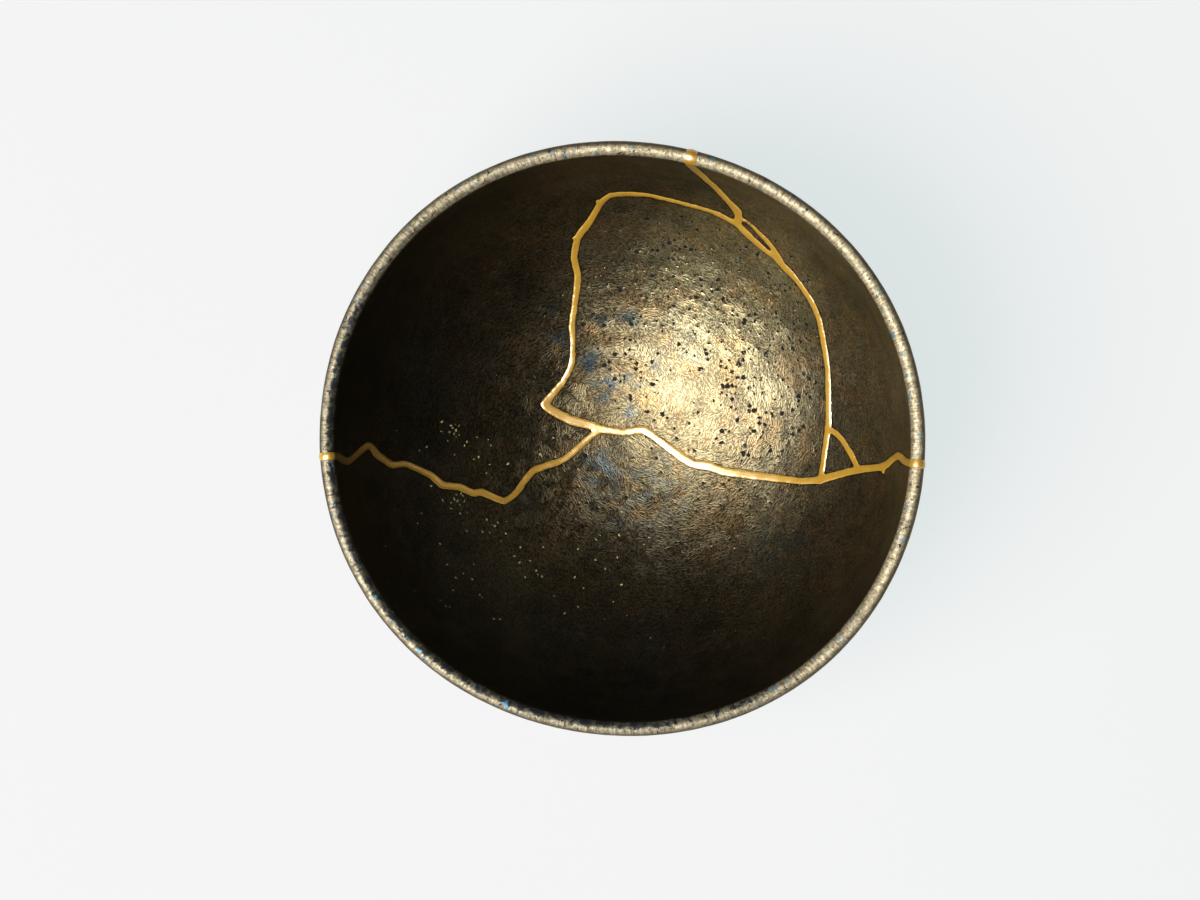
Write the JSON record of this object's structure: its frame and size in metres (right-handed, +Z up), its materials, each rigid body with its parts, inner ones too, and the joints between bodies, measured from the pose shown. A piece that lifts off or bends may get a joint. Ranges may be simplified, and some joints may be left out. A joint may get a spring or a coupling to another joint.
{
  "type": "kintsugi tea bowl",
  "caption": "Round tea bowl in bronze-black glaze on a low foot ring, broken and rejoined with raised seams of gold lacquer.",
  "frame": {"origin": "centre of the bounding box's bottom face, in the plane the foot ring stands on", "axes": "+Z up out of the mouth, +X to the right of the picture, +Y to the top of the picture"},
  "size_m": [0.126, 0.1234, 0.0696],
  "materials": {
    "bronze_glaze": "bronze-black iron glaze with a satin, metallic sheen and small pinholes",
    "gold_lacquer": "lacquer filling dusted with gold powder and burnished, slightly raised"
  },
  "bodies": {
    "root": {"lower_shard": "bronze_glaze", "upper_left_shard": "bronze_glaze", "upper_right_shard": "bronze_glaze", "centre_shard": "bronze_glaze", "small_right_shard": "bronze_glaze", "sliver_shard": "bronze_glaze", "gold_seam": "gold_lacquer"}
  },
  "joints": []
}
